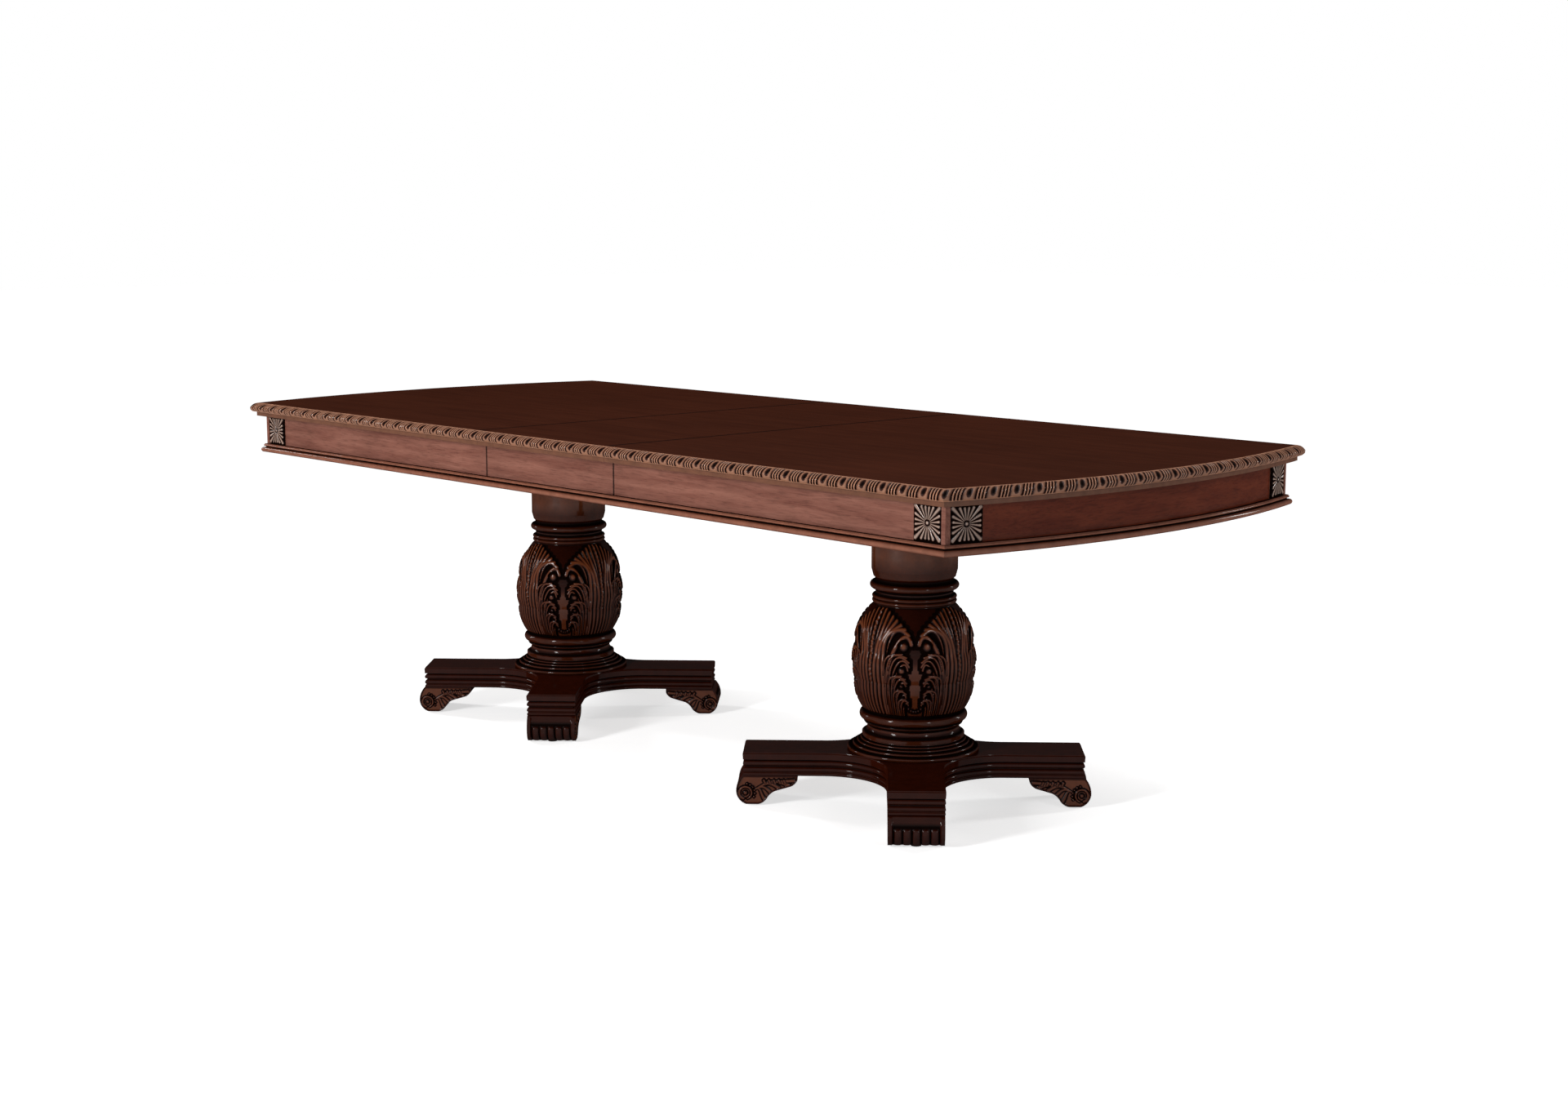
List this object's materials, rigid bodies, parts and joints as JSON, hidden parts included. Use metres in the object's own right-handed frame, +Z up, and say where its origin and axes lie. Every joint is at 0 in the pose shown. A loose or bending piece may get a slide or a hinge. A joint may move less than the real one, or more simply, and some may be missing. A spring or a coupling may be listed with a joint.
{
  "type": "dining table",
  "caption": "Pedestal dining table with bowed ends, a gadrooned edge, carved corner rosettes, turned urn columns on scroll feet, and a lift-out leaf on telescopic slides.",
  "frame": {"origin": "on the floor under the middle of the table, with the leaf in place", "axes": "+X along the table towards the end that slides out, +Y across it, +Z up"},
  "size_m": [2.591, 1.118, 0.787],
  "materials": {
    "top_veneer": "dark mahogany veneer under a full gloss lacquer",
    "gadroon": "carved wood, red-brown with dark glaze in the hollows and rubbed highlights, satin gloss",
    "apron": "red-brown mahogany veneer, satin lacquer",
    "moulding": "red-brown stained moulding with dark glaze, satin gloss",
    "carving": "carved wood, red-brown with dark glaze in the hollows, satin gloss",
    "pedestal": "nearly black espresso stain with red-brown rubbed through, semi-gloss lacquer",
    "inner_wood": "plain sanded hardwood, unfinished",
    "steel": "zinc plated",
    "glide": "matte nylon"
  },
  "bodies": {
    "left_end": {"left_top_panel": "top_veneer", "left_end_edge_moulding": "gadroon", "left_end_apron": "apron", "left_end_base_moulding": "moulding", "left_near_edge_moulding": "gadroon", "left_near_apron": "apron", "left_near_base_moulding": "moulding", "left_far_edge_moulding": "gadroon", "left_far_apron": "apron", "left_far_base_moulding": "moulding", "left_corner_blocks": "apron", "left_rosettes": "carving", "left_bearers": "inner_wood", "left_slides": "inner_wood", "left_pedestal_plate": "inner_wood", "left_column": "pedestal", "left_base_ring": "pedestal", "left_platform": "pedestal", "left_tie_rod": "steel", "left_near_inner_foot": "pedestal", "left_near_outer_foot": "pedestal", "left_far_inner_foot": "pedestal", "left_far_outer_foot": "pedestal", "left_glides": "glide", "left_screws": "steel"},
    "right_end": {"right_top_panel": "top_veneer", "right_end_edge_moulding": "gadroon", "right_end_apron": "apron", "right_end_base_moulding": "moulding", "right_near_edge_moulding": "gadroon", "right_near_apron": "apron", "right_near_base_moulding": "moulding", "right_far_edge_moulding": "gadroon", "right_far_apron": "apron", "right_far_base_moulding": "moulding", "right_corner_blocks": "apron", "right_rosettes": "carving", "right_bearers": "inner_wood", "right_slides": "inner_wood", "right_pedestal_plate": "inner_wood", "right_column": "pedestal", "right_base_ring": "pedestal", "right_platform": "pedestal", "right_tie_rod": "steel", "right_near_inner_foot": "pedestal", "right_near_outer_foot": "pedestal", "right_far_inner_foot": "pedestal", "right_far_outer_foot": "pedestal", "right_glides": "glide", "right_screws": "steel"},
    "leaf": {"leaf_near_edge_moulding": "gadroon", "leaf_near_apron": "apron", "leaf_near_base_moulding": "moulding", "leaf_far_edge_moulding": "gadroon", "leaf_far_apron": "apron", "leaf_far_base_moulding": "moulding", "leaf_panel": "top_veneer", "leaf_cleats": "inner_wood"},
    "mid_runner": {"near_runner": "inner_wood", "far_runner": "inner_wood"}
  },
  "joints": [
    {"name": "extend", "type": "slide", "parent": "left_end", "child": "right_end", "axis": [1, 0, 0], "range_m": [0, 0.46]},
    {"name": "runner_travel", "type": "slide", "parent": "left_end", "child": "mid_runner", "axis": [1, 0, 0], "range_m": [0, 0.23]},
    {"name": "leaf_lift", "type": "slide", "parent": "left_end", "child": "leaf", "axis": [0, 0, 1], "range_m": [0, 0.2]}
  ],
  "couplings": [
    {"joint": "runner_travel", "follows": "extend", "ratio": 0.5}
  ]
}
